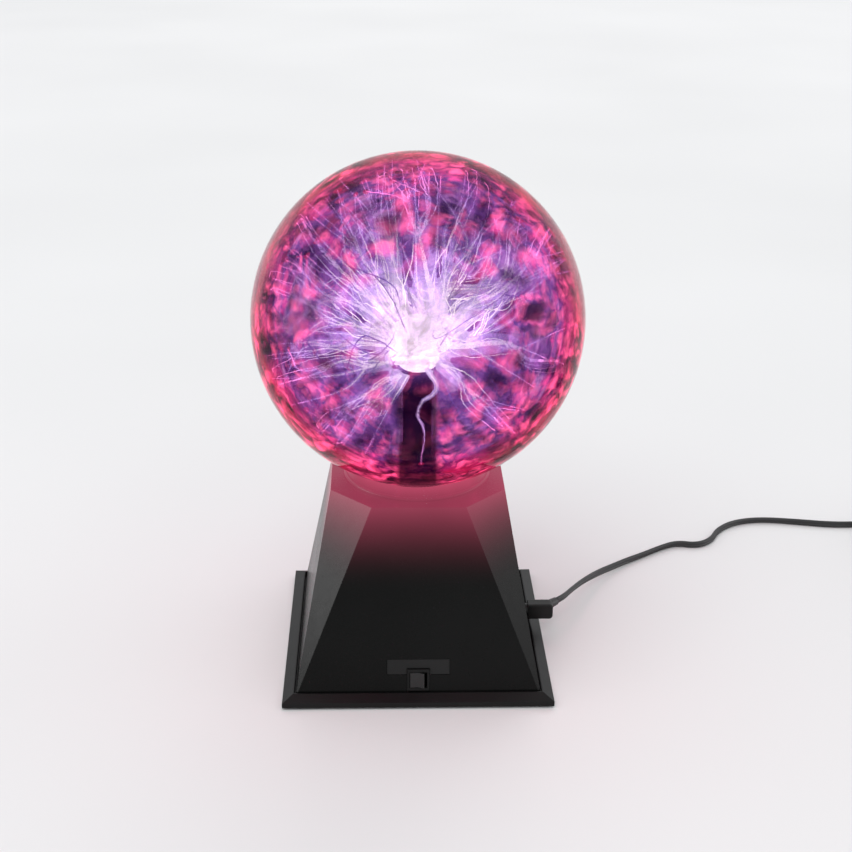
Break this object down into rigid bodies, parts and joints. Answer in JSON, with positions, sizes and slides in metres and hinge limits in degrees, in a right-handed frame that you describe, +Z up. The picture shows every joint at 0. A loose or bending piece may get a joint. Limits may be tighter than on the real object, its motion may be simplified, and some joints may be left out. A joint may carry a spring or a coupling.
{
  "type": "plasma ball",
  "caption": "Glass plasma globe on a tapering square black base with a rocker switch, a twin lead and a wall adapter.",
  "frame": {"origin": "centre of the footprint at the bottom of the rubber feet, without the lead and what is on it", "axes": "+Z up through the globe, -Y towards the switch on the front, +X towards the power jack"},
  "size_m": [0.5376, 0.268, 0.3262],
  "materials": {
    "base_plastic": "satin black moulding",
    "housing_plastic": "glossy black moulding",
    "collar_plastic": "glossy black moulding",
    "foot_rubber": "matt",
    "gasket_rubber": "matt",
    "pad_rubber": "foamed",
    "inner_plastic": "matt moulding",
    "screw_steel": "zinc plated",
    "label_plastic": "satin, blank",
    "globe_glass": "clear polished",
    "stem_glass": "clear polished",
    "electrode_glow": "steel wool, white hot with discharge",
    "lead_sheath": "silicone",
    "sleeve_black": "matt black tube",
    "switch_plastic": "satin black",
    "rocker_plastic": "semi-gloss black",
    "terminal_brass": "tinned",
    "board_laminate": "green solder mask",
    "core_ferrite": "ferrite",
    "winding_tape": "taped winding",
    "potting_resin": "potted winding",
    "sink_aluminium": "extruded",
    "chip_plastic": "moulded",
    "can_sleeve": "shrink sleeve",
    "film_red": "dipped",
    "resistor_tan": "lacquered",
    "header_nylon": "nylon",
    "wire_sheath": "PVC",
    "plug_plastic": "moulded black",
    "plug_metal": "nickel plated",
    "cord_rubber": "black PVC",
    "adapter_plastic": "textured black",
    "blade_metal": "nickel plated"
  },
  "bodies": {
    "base": {"base_plate": "base_plastic", "rubber_feet": "foot_rubber", "housing_shell": "housing_plastic", "housing_screws": "screw_steel", "label_plate": "label_plastic", "collar_ring": "collar_plastic", "globe_gasket": "gasket_rubber", "neck_cup": "inner_plastic", "neck_pad": "pad_rubber", "collar_screws": "screw_steel", "globe_glass": "globe_glass", "stem_glass": "stem_glass", "exhaust_tip": "stem_glass", "electrode_wool": "electrode_glow", "electrode_lead": "lead_sheath", "stem_sleeve": "sleeve_black", "stem_boot": "gasket_rubber", "switch_body": "switch_plastic", "switch_terminals": "terminal_brass", "circuit_board": "board_laminate", "board_screws": "screw_steel", "transformer_core": "core_ferrite", "transformer_primary": "winding_tape", "transformer_secondary": "potting_resin", "transformer_saddle": "inner_plastic", "high_voltage_lead": "lead_sheath", "heatsink": "sink_aluminium", "drive_transistor": "chip_plastic", "transistor_screw": "screw_steel", "filter_capacitors": "can_sleeve", "film_capacitor": "film_red", "oscillator_chip": "chip_plastic", "resistors": "resistor_tan", "wire_header": "header_nylon", "switch_wires": "wire_sheath", "dc_jack": "chip_plastic", "dc_jack_pin": "plug_metal", "dc_plug_body": "plug_plastic", "dc_plug_barrel": "plug_metal", "plug_boot": "cord_rubber", "power_cord": "cord_rubber", "cord_tail": "cord_rubber", "cord_coil": "cord_rubber", "adapter_case": "adapter_plastic", "adapter_lid": "adapter_plastic", "adapter_blades": "blade_metal", "adapter_boot": "cord_rubber"},
    "rocker": {"switch_rocker": "rocker_plastic"}
  },
  "joints": [
    {"name": "rocker_tilt", "type": "hinge", "parent": "base", "child": "rocker", "pos_m": [0, -0.07225, 0.01473], "axis": [0, 0.1834, 0.983], "range_deg": [0, 20]}
  ]
}
